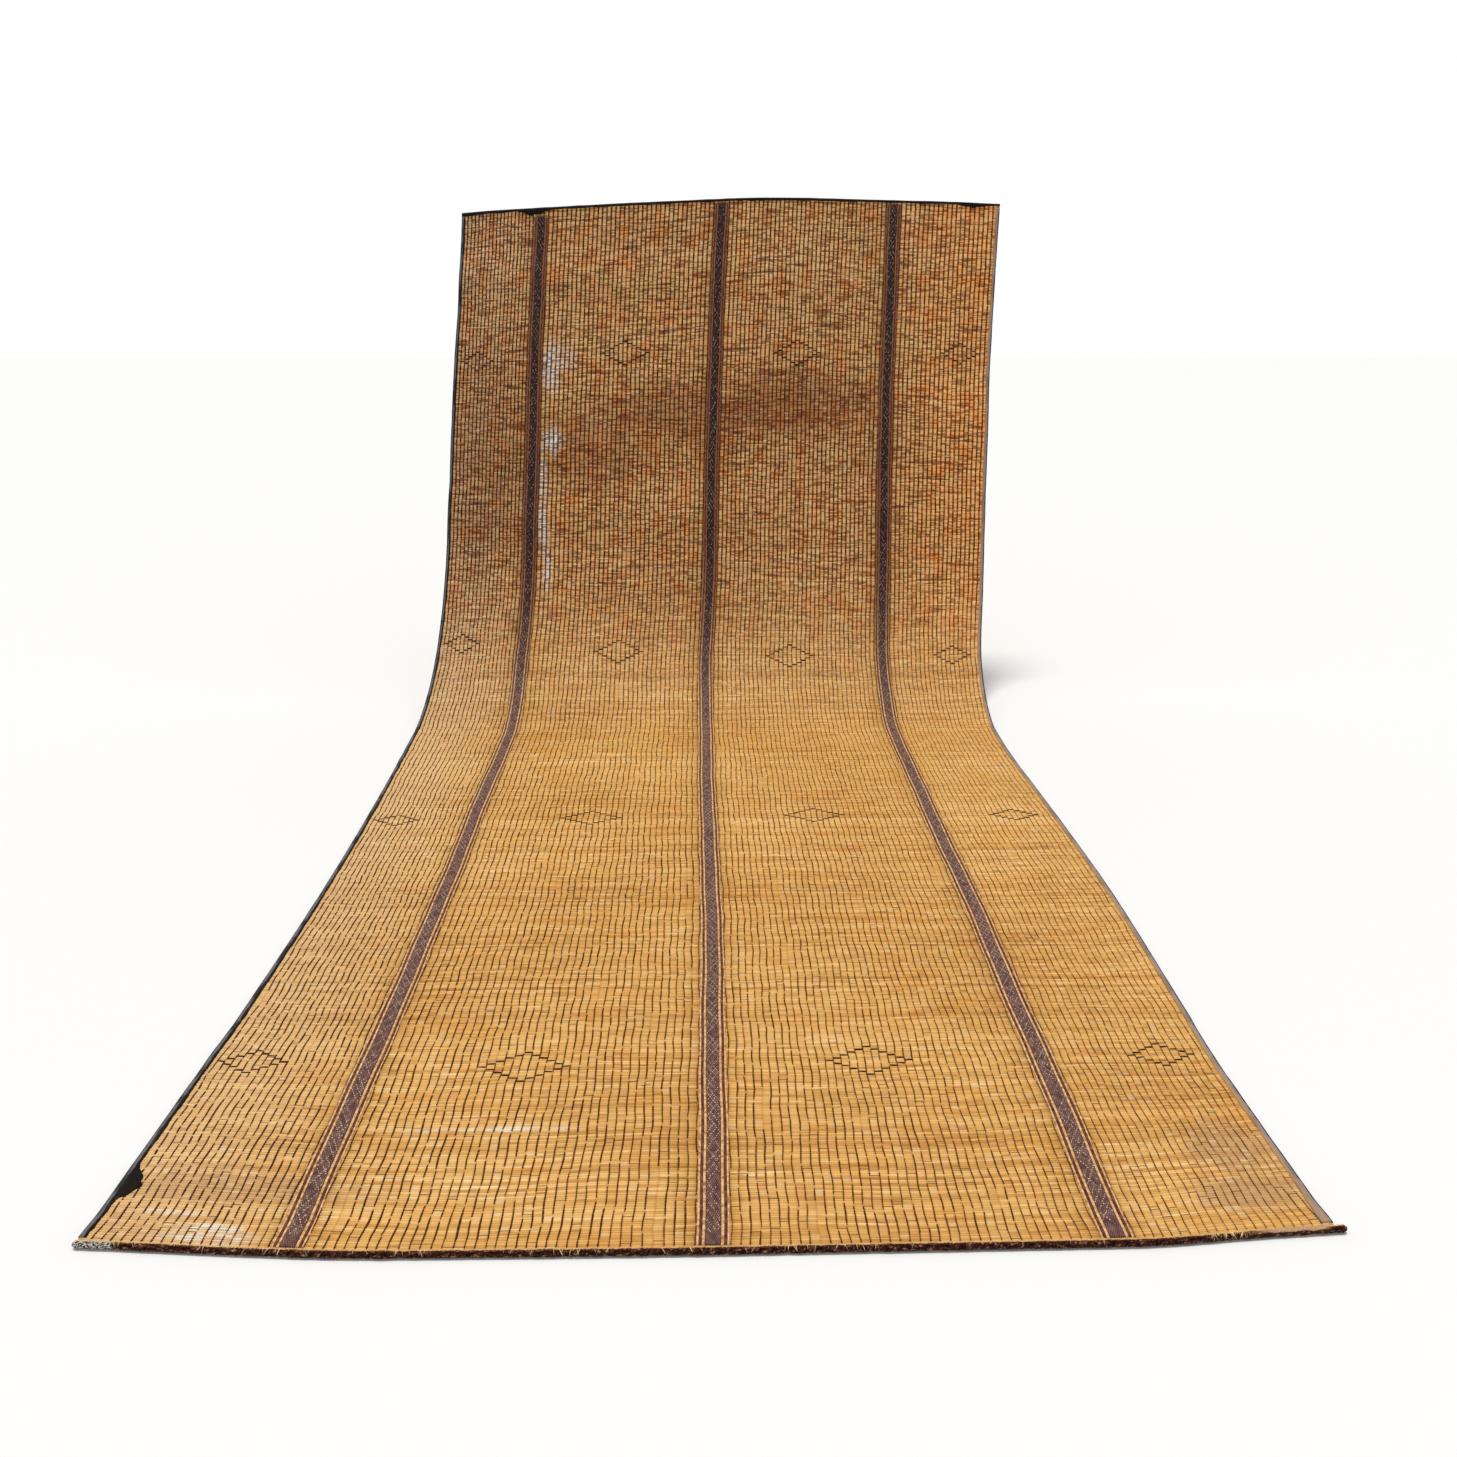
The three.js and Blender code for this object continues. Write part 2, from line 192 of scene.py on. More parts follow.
def table_at(table, column, value):
    """A column of a table at places of its first column: a cubic through the rows, each row's slope taken
    from its neighbours."""
    rows, values = table[:, 0], table[:, column]
    numbers = np.arange(len(rows))
    before, after = np.maximum(numbers - 1, 0), np.minimum(numbers + 1, len(rows) - 1)
    slopes = (values[after] - values[before]) / (rows[after] - rows[before])
    place = np.clip(value, rows[0], rows[-1])
    end = np.clip(np.searchsorted(rows, place), 1, len(rows) - 1)
    start = end - 1
    run = rows[end] - rows[start]
    t = (place - rows[start]) / run
    rise = t * t * (3 - 2 * t)
    lean_in = t * (1 - t) ** 2 * slopes[start] - t * t * (1 - t) * slopes[end]
    return values[start] * (1 - rise) + values[end] * rise + run * lean_in


def slope_angle(along):
    """The mat's slope: none up to the bend, then the lean times 1 - (1 - share) to the power of the ease."""
    share = np.clip((along - bend_start) / bend_length, 0, 1)
    return lean * (1 - (1 - share) ** bend_ease)


bend_steps = 700
bend_middles = bend_start + (np.arange(bend_steps) + 0.5) * bend_length / bend_steps
bend_places = bend_start + np.arange(bend_steps + 1) * bend_length / bend_steps
bend_y = bend_start + np.r_[0, np.cumsum(np.cos(slope_angle(bend_middles)))] * bend_length / bend_steps
bend_z = np.r_[0, np.cumsum(np.sin(slope_angle(bend_middles)))] * bend_length / bend_steps


def hang(across, along, lift):
    """Where a flat place comes to lie: its distance along, set back near the ends, is walked up the side
    section, which is flat, then a summed bend, then straight. Lift and ripples stand off it at a right angle,
    and sway shifts it."""
    across, along, lift = np.broadcast_arrays(across, along, lift)
    place = along + table_at(near_end, 1, across) * (1 - smooth(0, near_reach, along))
    place = place - table_at(far_end, 1, across) * smooth(mat_length - far_reach, mat_length, along)
    beyond = np.maximum(place - bend_places[-1], 0)
    y = np.where(place < bend_start, place, np.interp(place, bend_places, bend_y)) + beyond * math.cos(lean)
    z = np.interp(place, bend_places, bend_z) + beyond * math.sin(lean)
    offset = lift.astype(float)
    for middle, height, wave, side in ripples:
        distance = place - middle
        weight = 0.5 + 0.5 * side * across / ripple_half_width
        fade = np.exp(-((distance / (0.6 * wave)) ** 2))
        offset = offset + height * np.cos(2 * np.pi * distance / wave) * fade * weight
    angle = slope_angle(place)
    x = across + table_at(outline, 1, place)
    return np.stack([x, y - offset * np.sin(angle), z + offset * np.cos(angle)], -1) + frame_shift


def left_edge(along):
    """The reeds' left ends: the left half width, on the negative side."""
    return -table_at(outline, 2, along)


def right_edge(along):
    """The reeds' right ends: the right half width."""
    return table_at(outline, 3, along)


def raised(across, along):
    """How far the reeds are lifted by the roll at the near end and by the side bindings' lower lips."""
    from_edge = np.minimum(across - left_edge(along), right_edge(along) - across)
    at_edge = lip_rise * (1 - np.clip((from_edge - lip_slope[0]) / (lip_slope[1] - lip_slope[0]), 0, 1))
    return at_edge + roll_rise * (1 - smooth(*roll_run, along))


# The CAD frame's origin is found from the near roll's box, because the roll's flat place is known.
roll_past_left, roll_past_right = 0.006, 0.020
roll_ahead = 0.004
frame_shift = np.zeros(3)
roll_left = hang(left_edge(0) - roll_past_left, -roll_ahead, 0)[0]
roll_front = hang(np.linspace(-0.8, 0.8, 200), -roll_ahead, 0)[:, 1].min()
roll_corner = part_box("end_near_roll")[0]
frame_shift = np.array([roll_corner[0] - roll_left, roll_corner[1] - roll_front, 0])


def closed_runs(rings, tips=None):
    """Vertices and faces of closed bodies from rings[body, ring, around, xyz]: each ring is joined to the
    next by four-sided faces, and the ends close on one face each, or on the two tip points of each body."""
    count, rows, around, _ = rings.shape
    points = rings.reshape(-1, 3)
    corner = np.arange(len(points)).reshape(count, rows, around)
    onward = np.roll(corner, -1, axis=2)
    sides = np.stack([corner[:, :-1], onward[:, :-1], onward[:, 1:], corner[:, 1:]], -1)
    faces = [sides.reshape(-1, 4)]
    if tips is None:
        return points, faces + [corner[:, 0, ::-1], corner[:, -1]]
    tip = len(points) + np.arange(2 * count).reshape(count, 2, 1) + np.zeros(around, int)
    faces.append(np.stack([onward[:, 0], corner[:, 0], tip[:, 0]], -1).reshape(-1, 3))
    faces.append(np.stack([corner[:, -1], onward[:, -1], tip[:, 1]], -1).reshape(-1, 3))
    return np.concatenate([points, tips.reshape(-1, 3)]), faces


def make_piece(name, points, faces, material, flat=None, tones=None, bake=None):
    """Puts a body into the scene, its faces turned outwards if its signed volume is negative. flat is a map
    by vertex, bake a map by corner, and tones holds numbers by vertex or by face."""
    fans = [np.stack([f[:, 0], f[:, i], f[:, i + 1]], -1) for f in faces for i in range(1, f.shape[1] - 1)]
    corners = points[np.concatenate(fans)]
    volume = np.einsum("ij,ij->i", corners[:, 0], np.cross(corners[:, 1], corners[:, 2])).sum()
    if volume < 0:
        faces = [f[:, ::-1] for f in faces]
        bake = None if bake is None else [b[:, ::-1] for b in bake]
    turns = np.concatenate([f.ravel() for f in faces])
    sizes = np.concatenate([np.full(len(f), f.shape[1]) for f in faces])
    mesh = bpy.data.meshes.new(name)
    mesh.vertices.add(len(points))
    mesh.vertices.foreach_set("co", points.astype(np.float32).ravel())
    mesh.loops.add(len(turns))
    mesh.loops.foreach_set("vertex_index", turns.astype(np.int32))
    mesh.polygons.add(len(sizes))
    mesh.polygons.foreach_set("loop_start", np.r_[0, np.cumsum(sizes)[:-1]].astype(np.int32))
    mesh.polygons.foreach_set("use_smooth", np.ones(len(sizes), bool))
    if flat is not None:
        mesh.uv_layers.new(name="flat").data.foreach_set("uv", flat[turns].astype(np.float32).ravel())
    if bake is not None:
        ravelled = np.concatenate([b.reshape(-1, 2) for b in bake])
        mesh.uv_layers.new(name="OFBake").data.foreach_set("uv", ravelled.astype(np.float32).ravel())
    for key, values in (tones or {}).items():
        domain = "POINT" if len(values) == len(points) else "FACE"
        mesh.attributes.new(key, "FLOAT", domain).data.foreach_set("value", values.astype(np.float32))
    mesh.materials.append(material)
    mesh.update(calc_edges=True)
    piece = bpy.data.objects.new(name, mesh)
    scene.collection.objects.link(piece)
    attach(piece, "root")
    return piece


def make_slips(name, feet, crest, tone, material, flat=None):
    """Puts many three-sided slips into the scene, from two rows of feet and a crest, by slip and station. The
    first and last stations shrink to the tips, on the crest, and each slip has one tone."""
    rings = np.stack([feet[0], crest, feet[1]], 2)
    points, faces = closed_runs(rings[:, 1:-1], crest[:, [0, -1]])
    if flat is not None:
        flat = [np.repeat(flat[:, 1:-1], 3, axis=1), flat[:, [0, -1]]]
        flat = np.concatenate([part.reshape(-1, 2) for part in flat])
    tones = np.r_[np.repeat(tone, 3 * (rings.shape[1] - 2)), np.repeat(tone, 2)]
    return make_piece(name, points, faces, material, flat, {"tone": tones})


def attribute(shader, name):
    """A number that the mesh holds by vertex or by face."""
    return node("Attribute", {}, shader.id_data, attribute_name=name).outputs["Fac"]


def flat_map(shader):
    """The flat place, and its two distances: across the mat and along it."""
    place = node("UVMap", {}, shader.id_data, uv_map="flat").outputs[0]
    parts = node("SeparateXYZ", {0: place}).outputs
    return place, parts[0], parts[1]


def reckon(operation, *values):
    """The result of one sum on one to three numbers, each a link or a plain value."""
    return node("Math", dict(enumerate(values)), operation=operation).outputs[0]


def times(*values):
    """The product of two numbers, plus the third where there is one."""
    return reckon("MULTIPLY" if len(values) == 2 else "MULTIPLY_ADD", *values)


def combined(*numbers):
    """A place made of up to three numbers."""
    return node("CombineXYZ", dict(enumerate(numbers))).outputs[0]


def white_noise(*numbers):
    """Random outputs for the cell that three numbers name."""
    cell = {0: combined(*numbers)}
    return node("TexWhiteNoise", cell, noise_dimensions="3D").outputs


def stretched(place, across, along, depth=0):
    """A place with its two distances multiplied, and a third one given."""
    parts = node("SeparateXYZ", {0: place}).outputs
    return combined(times(parts[0], across), times(parts[1], along), depth)


def cloudy(place, scale, detail):
    """Soft noise from 0 to 1 over a place."""
    return node("TexNoise", {"Vector": place, "Scale": scale, "Detail": detail}).outputs[0]


def streaky(place, across, along, detail):
    """Soft noise whose clouds are drawn out, because the two distances are multiplied first."""
    return cloudy(stretched(place, across, along), 1, detail)


def between(value, low, high):
    """How far a value has come from low to high, eased, from 0 to 1."""
    feeds = {"Value": value, "From Min": low, "From Max": high}
    return node("MapRange", feeds, interpolation_type="SMOOTHSTEP").outputs[0]


def colours(value, stops):
    """A run of colours over 0 to 1, with stops of a place and a colour."""
    run = node("ValToRGB", {0: value})
    elements = run.color_ramp.elements
    while len(elements) < len(stops):
        elements.new(0.5)
    for element, (place, colour) in zip(elements, stops):
        element.position = place
        element.color = (*colour, 1)
    return run.outputs[0]


def mixed(share, first, second, way="MIX"):
    """Two colours mixed by a share."""
    pick = [value if isinstance(value, bpy.types.NodeSocket) else (*value, 1) for value in (first, second)]
    feeds = {0: share, 6: pick[0], 7: pick[1]}
    return node("Mix", feeds, data_type="RGBA", blend_type=way).outputs[2]


def tinted(share, colour, tint):
    """A colour multiplied by a tint, by a share."""
    return mixed(share, colour, tint, "MULTIPLY")


def coat(shader, colour, roughness, height, depth):
    """Feeds the main shader with a colour, a roughness and a bump of some depth from a height."""
    bump = node("Bump", {"Height": height, "Distance": depth, "Strength": 1.0})
    feed(shader, {"Base Color": colour, "Roughness": roughness, "Normal": bump.outputs[0]})


def patchy(place, spots):
    """The strongest of several soft oval spots, each with its middle across and along, its reach across and
    along and its strength. Noise makes their edges ragged."""
    rough = times(reckon("SUBTRACT", cloudy(place, 26, 3), 0.5), 1.1)
    most = 0.0
    for across, along, wide, long, strength in spots:
        away = node("VectorMath", {0: place, 1: (across, along, 0)}, operation="SUBTRACT")
        scaled = {0: away.outputs[0], 1: (1 / wide, 1 / long, 0)}
        scaled = node("VectorMath", scaled, operation="MULTIPLY").outputs[0]
        far = node("VectorMath", {0: scaled}, operation="LENGTH").outputs[1]
        spot = between(reckon("ADD", far, rough), 1.25, 0.35)
        most = reckon("MAXIMUM", most, times(spot, strength))
    return most


beside_band = 0.032
beside_binding = 0.024
thong_counts = (19, 38, 38, 21)
hung_from, hung_to = 2.7, 3.7


def thong_drift(across, along):
    """The sideways wander that neighbouring thongs share: three slow waves that run slantwise over the mat,
    and are gentler where it hangs."""
    calm = 1 - 0.55 * smooth(hung_from, hung_to, along)
    return calm * (
        0.0017 * np.sin(2 * np.pi * (along / 0.61 + across / 0.5) + 0.4)
        + 0.0013 * np.sin(2 * np.pi * (along / 0.19 - across / 0.37))
        + 0.0007 * np.sin(2 * np.pi * (along / 0.083 + across / 0.29) + 2.0)
    )


def thong_run(span, along):
    """Where a panel's first thong runs, and the step to each next one: even steps between two bands, and in a
    margin steps that spread with the mat's edge."""
    if span == 0:
        first, last = band_middles[0] - beside_band, left_edge(along) + beside_binding
    else:
        first = band_middles[span - 1] + beside_band
        last = band_middles[span] - beside_band if span < 3 else right_edge(along) - beside_binding
    return first, (last - first) / (thong_counts[span] - 1)


reed_straw, shader = new_material("golden reeds", 0.22)
place, flat_across, flat_along = flat_map(shader)
reed_tone, reed_part, weave, crease, underside = [
    attribute(shader, name) for name in ("reed_tone", "reed_part", "weave", "crease", "underside")
]
hung_share = between(flat_along, hung_from, hung_to)

# A tone for each reed, streaks along it, and a little for each cell between two thongs.
streak = cloudy(stretched(place, 8, 60, times(reed_tone, 40)), 1, 3)
panel_number = reckon("FLOOR", reckon("DIVIDE", flat_across, band_middles[2]))
cell_colour = white_noise(reckon("FLOOR", weave), times(reed_tone, 997.0), panel_number)["Color"]
cell_tones = node("SeparateXYZ", {0: cell_colour}).outputs
tone = times(reed_tone, 0.34, times(streak, 0.62))
tone = times(cell_tones[0], 0.16, tone)
tone = times(cloudy(place, 1.6, 3), 0.5, reckon("SUBTRACT", tone, 0.29))
straw = colours(tone, [
    (0.12, (0.34, 0.128, 0.026)),
    (0.34, (0.58, 0.283, 0.065)),
    (0.55, (0.74, 0.412, 0.116)),
    (0.74, (0.84, 0.513, 0.183)),
    (0.92, (0.94, 0.700, 0.370)),
])
orange_share = between(streaky(place, 5, 16, 4), 0.47, 0.66)
straw = tinted(times(orange_share, 0.6), straw, (0.97, 0.84, 0.62))
margin_left = between(flat_across, -0.66, -1.05)
straw = mixed(times(margin_left, 0.42), straw, (0.76, 0.53, 0.30))

# The raised part is more orange, with cells of other hues, and painted shade in creases along the reeds.
hue_row = reckon("FLOOR", times(flat_along, 28.0))
hue_column = reckon("FLOOR", times(weave, 0.5))
hue_cells = white_noise(hue_column, hue_row, panel_number)["Value"]
hue_drift = times(hue_cells, 0.35, streaky(place, 14, 9, 2))
hung_hue = colours(hue_drift, [
    (0.46, (1.0, 0.70, 0.46)),
    (0.64, (1.0, 0.96, 0.94)),
    (0.88, (0.94, 1.00, 0.98)),
])
straw = mixed(times(hung_share, 0.5), straw, (1.0, 0.62, 0.29))
straw = tinted(times(hung_share, 0.85), straw, hung_hue)
hung_left = times(margin_left, hung_share)
straw = tinted(hung_left, straw, (0.92, 0.92, 1.0))
straw = tinted(times(between(flat_across, 0.72, 0.98), hung_share), straw, (1.22, 1.12, 0.96))
hung_crack = streaky(place, 7, 46, 3)
# Painted shade: dark lines along the slopes of the creases that the same noise dents into the bump.
crease_shade = times(between(hung_crack, 0.585, 0.635), between(cloudy(place, 4.5, 1), 0.38, 0.56))
crease_shade = times(crease_shade, times(hung_share, 0.85))
straw = tinted(crease_shade, straw, (0.42, 0.26, 0.16))

# Painted shade, mostly broad dark zones across the raised part below its folds, then brown stains and pale
# worn scrapes.
fold_shade = patchy(place, [
    # across, along, reach across, reach along, strength
    (0.30, 4.23, 0.50, 0.15, 1.0),
    (-0.10, 4.20, 0.50, 0.17, 0.85),
    (-0.50, 4.05, 0.26, 0.22, 0.70),
    (-0.90, 3.95, 0.24, 0.50, 0.55),
    (0.316, 4.371, 0.19, 0.022, 0.8),
    (0.443, 4.597, 0.022, 0.018, 0.9),
])
straw = tinted(fold_shade, straw, (0.60, 0.46, 0.37))
stains = patchy(place, [
    (-0.88, 0.165, 0.30, 0.05, 0.5),
    (1.03, 0.24, 0.10, 0.10, 0.6),
    (1.03, 0.11, 0.14, 0.06, 0.7),
])
straw = mixed(stains, straw, (0.46, 0.26, 0.12))
scrapes = patchy(place, [
    (-0.447, 0.346, 0.24, 0.006, 0.7),
    (-0.400, 0.347, 0.075, 0.009, 1.0),
    (-0.890, 0.032, 0.10, 0.024, 0.7),
    (-0.985, 0.092, 0.07, 0.009, 0.7),
    (-0.890, 0.056, 0.07, 0.012, 1.0),
    (-0.672, 4.400, 0.045, 0.120, 1.0),
    (-0.610, 4.430, 0.050, 0.070, 0.5),
    (-0.665, 4.085, 0.050, 0.060, 1.0),
    (-0.698, 3.930, 0.020, 0.110, 1.0),
    (-0.690, 3.730, 0.024, 0.120, 1.0),
    (-0.665, 3.540, 0.022, 0.110, 0.9),
])
scrape_break = between(times(cell_tones[2], 0.5, cloudy(place, 55, 3)), 0.55, 0.85)
scrapes = times(scrapes, times(scrape_break, 0.75, 0.25))
straw = mixed(scrapes, straw, mixed(hung_share, (0.84, 0.76, 0.60), (0.86, 0.86, 0.86)))

# Painted shade beside the thongs, stronger where the mat hangs, darker cells, and at the joints painted
# shade, dark slits painted as shade, and pale reeds.
beside_thong = reckon("ABSOLUTE", times(reckon("FRACT", weave), 2.0, -1.0))
# Painted shade: the reeds darken beside each thong, more where the mat hangs.
thong_edge_shade = between(times(hung_share, 0.15, beside_thong), 0.66, 0.88)
straw = tinted(times(thong_edge_shade, times(hung_share, 0.55, 0.25)), straw, (0.34, 0.19, 0.11))
row_break = between(streaky(place, 12, 130, 2), 0.53, 0.58)
dark_cell = reckon("MAXIMUM", row_break, between(cell_tones[1], 0.84, 0.86))
straw = tinted(times(dark_cell, times(hung_share, 0.75, 0.10)), straw, (0.40, 0.27, 0.19))
joint_line = between(streaky(place, 5, 150, 2), 0.56, 0.62)
joint_shade = times(reckon("GREATER_THAN", cell_tones[1], 0.55), 0.35, 0.20)
joint_shade = times(times(joint_line, 0.35, joint_shade), between(crease, 0.30, 0.95))
straw = tinted(joint_shade, straw, (0.42, 0.26, 0.14))
near_joint = times(between(crease, 0.05, 0.40), reckon("LESS_THAN", reed_part, 0.5))
# Painted shade: narrow dark slits at the reeds' joints, where a gap between reeds would lie in shade.
slit_shade = times(reckon("GREATER_THAN", cell_tones[2], 0.965), near_joint)
straw = mixed(times(slit_shade, 0.85), straw, (0.10, 0.04, 0.012))
pale_reed = reckon("LESS_THAN", cell_tones[0], 0.03)
straw = mixed(times(pale_reed, 0.3), straw, (0.93, 0.76, 0.48))

# On the underside the thongs show as dark lines of dashes.
behind_line = times(between(beside_thong, 0.76, 0.82), underside)
behind_dash = between(streaky(place, 60, 38, 1), 0.47, 0.53)
straw = mixed(times(behind_line, behind_dash), straw, (0.10, 0.045, 0.02))

# The bump: each reed swells between two thongs, has fine fibres, and is creased where it hangs.
fibre = streaky(place, 25, 1400, 2)
pillow = times(times(beside_thong, beside_thong), -0.8, times(fibre, 0.35))
fold_depth = times(hung_left, -7.0, times(hung_share, -6.0))
relief = reckon("ADD", pillow, times(hung_crack, fold_depth))
coat(shader, straw, times(fibre, 0.25, 0.42), relief, 0.0012)

rng = np.random.default_rng(11)
reed_widths = rng.uniform(0.72, 1.28, reed_count)
reed_widths *= mat_length / reed_widths.sum()
reed_starts = np.r_[0, np.cumsum(reed_widths)]
reed_rows = reed_starts[:-1, None] + reed_widths[:, None] * reed_shares
reed_rows = np.r_[reed_rows.ravel(), mat_length]
reed_tones = np.repeat(rng.random(reed_count), len(reed_shares))
reed_crown = rng.uniform(0.55, 1.0, reed_count)[:, None] * reed_profile * reed_relief
reed_crown = np.r_[reed_crown.ravel(), 0]
reed_joints = np.r_[np.tile(1.0 - reed_profile, reed_count), 1.0]


def reed_wander(across, along):
    """The reeds' slow waves along the mat: two sines over the width that die away at both ends."""
    inner = smooth(0, 0.08, along) * smooth(0, 0.08, mat_length - along)
    broad_wave = 0.0045 * np.sin(2 * np.pi * (across / 0.93 + along / 1.7) + 1.0)
    short_wave = 0.0022 * np.sin(2 * np.pi * (across / 0.41 - along / 0.66))
    return inner * (broad_wave + short_wave)


def panel_columns(span, along):
    """Places across one panel: even steps between two bands, or in a margin from the side's edge, with two
    places at the ends of the binding's lip, to the band."""
    if span in (1, 2):
        return np.linspace(band_middles[span - 1], band_middles[span], 8) + np.zeros((len(along), 1))
    if span == 0:
        edge, band, inwards = left_edge(along), band_middles[0], 1
    else:
        edge, band, inwards = right_edge(along), band_middles[2], -1
    at_lip = [edge + inwards * reach for reach in lip_slope]
    inner = [edge + (band - edge) * share for share in (0.30, 0.53, 0.76)]
    return np.stack([edge, *at_lip, *inner, np.full_like(along, band)][::inwards], -1)


bake_strips = 4
strip_gap = 0.02
page_foot, page_height = 0.01, 0.97
rim_middle, rim_radius = 0.992, 0.004


def bake_map(rows, around):
    """The baked picture's place of each face's corners: four strips of rows side by side, each with its top
    faces beside its underside, and both end faces in a corner."""
    strip_rows = (rows - 1) / bake_strips
    strip = np.floor(np.arange(rows - 1) / strip_rows)
    corner = np.arange(around + 1)
    u = corner / (around + 1)
    u = np.where(corner < around // 2, u * 1.3, 1 - (1 - u) * 0.7)
    u = (strip[:, None] + strip_gap + (1 - 2 * strip_gap) * u) / bake_strips
    v = (np.arange(rows - 1) - strip * strip_rows)[:, None] / strip_rows + 0 * u[:, 1:]
    low, high = page_foot + page_height * v, page_foot + page_height * (v + 1 / strip_rows)
    corners = (u[:, :-1], low), (u[:, 1:], low), (u[:, 1:], high), (u[:, :-1], high)
    sides = np.stack([np.stack(place, -1) for place in corners], 2).reshape(-1, 4, 2)
    turn = np.linspace(0, 2 * np.pi, around, endpoint=False)
    rim = rim_middle + rim_radius * np.stack([np.cos(turn), np.sin(turn)], -1)
    return [sides, rim[None], rim[None]]


def there_and_back(values):
    """Numbers of the top face's columns, and again from the last to the first for the underside."""
    return np.concatenate([values, values[:, ::-1]], axis=1)


span_names = ("left_margin", "left_middle", "right_middle", "right_margin")
for span, name in enumerate(span_names):
    across = panel_columns(span, reed_rows)
    along = reed_rows[:, None] + 0 * across
    uneven = rng.uniform(-0.0004, 0.0, across.shape)
    lie = raised(across, along)
    moved = along + reed_wander(across, along)
    top = hang(across, moved, reed_thickness - reed_relief + reed_crown[:, None] + uneven + lie)
    under = hang(across, moved, reed_relief - reed_crown[:, None] + lie)
    rings = np.concatenate([top, under[:, ::-1]], axis=1)[None]
    points, faces = closed_runs(rings)
    rows, around = rings.shape[1:3]
    first, step = thong_run(span, along)
    weave = (across - thong_drift(across, along) - first) / step
    tones = {
        "reed_tone": np.r_[np.repeat(reed_tones, around), 0.5, 0.5],
        "reed_part": np.r_[np.repeat(np.tile(np.arange(3), reed_count), around), 1, 1],
        "weave": there_and_back(weave).ravel(),
        "crease": np.repeat(reed_joints, around),
        "underside": np.tile(np.arange(around) >= around // 2, rows).astype(float),
    }
    flat = there_and_back(np.stack([across, along], -1)).reshape(-1, 2)
    bake = bake_map(rows, around)
    panel = make_piece(f"reeds_{name}", points, faces, reed_straw, flat, tones, bake)
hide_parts("reed_field")

# Thongs. Thin dark leather thongs run the length of the mat, 18 mm apart, and bind the reeds.
# Each shows as a line of dashes, because it dips under a reed every few centimetres.
thong_leather, shader = new_material("dark thong leather", 0.12)
place, flat_across, flat_along = flat_map(shader)
thong_wear = streaky(place, 70, 60, 4)
thong_shade = times(thong_wear, 0.7, times(attribute(shader, "tone"), 0.45))
leather = colours(thong_shade, [
    (0.25, (0.030, 0.009, 0.003)),
    (0.52, (0.090, 0.030, 0.009)),
    (0.70, (0.160, 0.062, 0.020)),
    (0.90, (0.320, 0.170, 0.075)),
])
leather = tinted(between(flat_along, hung_from, hung_to), leather, (0.60, 0.56, 0.56))
coat(shader, leather, times(thong_wear, 0.3, 0.45), thong_wear, 0.0004)

thong_half_width = 0.00175
thong_hung_width = 0.0028
thong_narrowing = 0.24
thong_rise = 0.0011
thong_sunk = 0.0010
thong_starts, thong_stops = 0.010, 0.008
loose_breaks = 130
hung_breaks_from = 3.0
aligned_from = 4.30
aligned_step = 0.0245
dash_stations = np.array([0.0, 0.06, 0.28, 0.5, 0.72, 0.94, 1.0])
dash_girth = np.array([0.5, 0.95, 1.0, 1.0, 1.0, 0.95, 0.5])
dash_lift = np.array([-0.9, 0.5, 1.0, 1.0, 1.0, 0.5, -0.9])


def thong_breaks(span, share):
    """Where one thong dips under the reeds: loose steps over most of the mat, short ones in the left margin,
    and even steps that line up across the top of the raised part."""
    steps = rng.uniform(0.035, 0.135, loose_breaks)
    if span == 0:
        steps = np.where(rng.random(loose_breaks) < 0.25 + 0.6 * share, steps * 0.45, steps)
    places = 0.012 + np.cumsum(steps)
    places = np.where(places > hung_breaks_from, hung_breaks_from + (places - hung_breaks_from) * 0.6, places)
    rows_from = aligned_from + rng.uniform(-0.05, 0.05)
    aligned = np.arange(rows_from // aligned_step + 1, (mat_length - 0.016) // aligned_step) * aligned_step
    aligned = aligned[rng.random(len(aligned)) < 0.6] + rng.uniform(-0.0015, 0.0015)
    return np.r_[thong_starts, places[places < rows_from - 0.02], aligned, mat_length - thong_stops]


for span, name in enumerate(span_names):
    breaks = [thong_breaks(span, k / thong_counts[span]) for k in range(thong_counts[span])]
    starts = np.concatenate([places[:-1] for places in breaks])
    stops = np.concatenate([places[1:] for places in breaks])
    thong_number = np.concatenate([np.full(len(places) - 1, k) for k, places in enumerate(breaks)])
    kept = rng.random(len(starts)) > 0.012
    starts, stops, thong_number = starts[kept], stops[kept], thong_number[kept]
    gap = rng.uniform(0.0008, 0.0024, len(starts)) + (0.0016 if span == 0 else 0)
    along = starts[:, None] + gap[:, None] / 2 + (stops - starts - gap)[:, None] * dash_stations
    first, step = thong_run(span, along)
    across = first + thong_number[:, None] * step
    jog = rng.normal(0, 0.0005, (len(starts), 1))
    slant = rng.normal(0, 0.0008, (len(starts), 1)) * (dash_stations - 0.5)
    across = across + thong_drift(across, along) + jog + slant + rng.normal(0, 0.0002, along.shape)
    half = thong_half_width * (1 - thong_narrowing * across)
    half = half + (thong_hung_width - half) * smooth(hung_from, hung_to, along)
    half = half * rng.uniform(0.8, 1.25, (len(starts), 1)) * dash_girth
    lie = reed_thickness + raised(across, along)
    crest = hang(across, along, lie + thong_rise * dash_lift)
    feet = [hang(across + side * half, along, lie - thong_sunk) for side in (-1, 1)]
    tone = rng.beta(2, 3, len(starts)) + 0.26 * across[:, 3]
    flat = np.stack([across, along], -1)
    make_slips(f"thongs_{name}", feet, crest, tone, thong_leather, flat)

